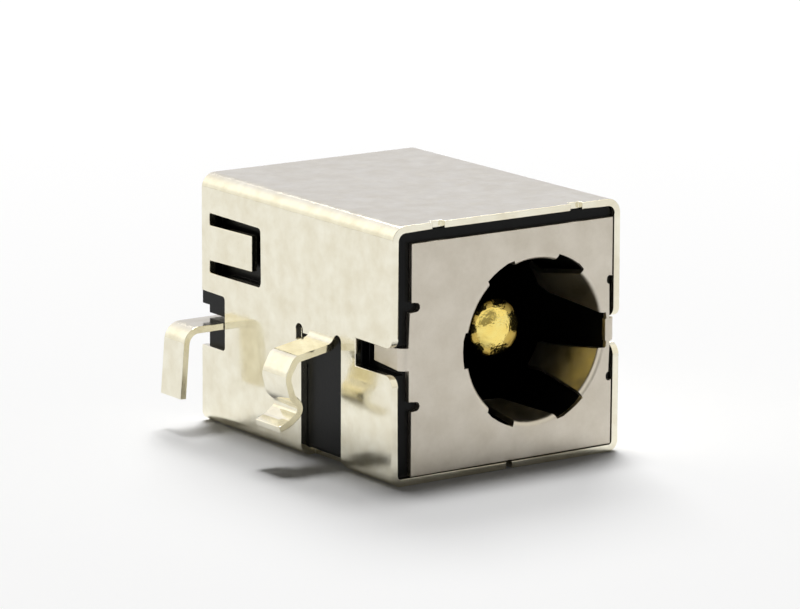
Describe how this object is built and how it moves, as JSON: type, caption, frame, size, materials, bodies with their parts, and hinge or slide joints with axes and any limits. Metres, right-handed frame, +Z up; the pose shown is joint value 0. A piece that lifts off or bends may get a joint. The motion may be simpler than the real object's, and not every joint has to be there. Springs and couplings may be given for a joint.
{
  "type": "dc barrel jack",
  "caption": "Shielded DC power inlet for a circuit board: folded metal shell, fingered round mouth, centre pin, side legs.",
  "frame": {"origin": "middle of the jack's foot, on the plane of the shield's flat bottom", "axes": "+Z up from the board, -Y out of the plug's mouth, +X to the right seen from the mouth"},
  "size_m": [0.0142, 0.0122, 0.009],
  "materials": {
    "shield_plating": "tin-plated sheet, semi-bright",
    "front_plating": "nickel-plated sheet, satin",
    "housing_plastic": "moulded, fine matt",
    "pin_gold": "turned brass, gold-plated",
    "terminal_tin": "stamped brass, tin-plated"
  },
  "bodies": {
    "root": {"shield_shell": "shield_plating", "front_plate": "front_plating", "housing": "housing_plastic", "centre_pin": "pin_gold", "centre_terminal": "terminal_tin", "barrel_contact": "terminal_tin"}
  },
  "joints": []
}
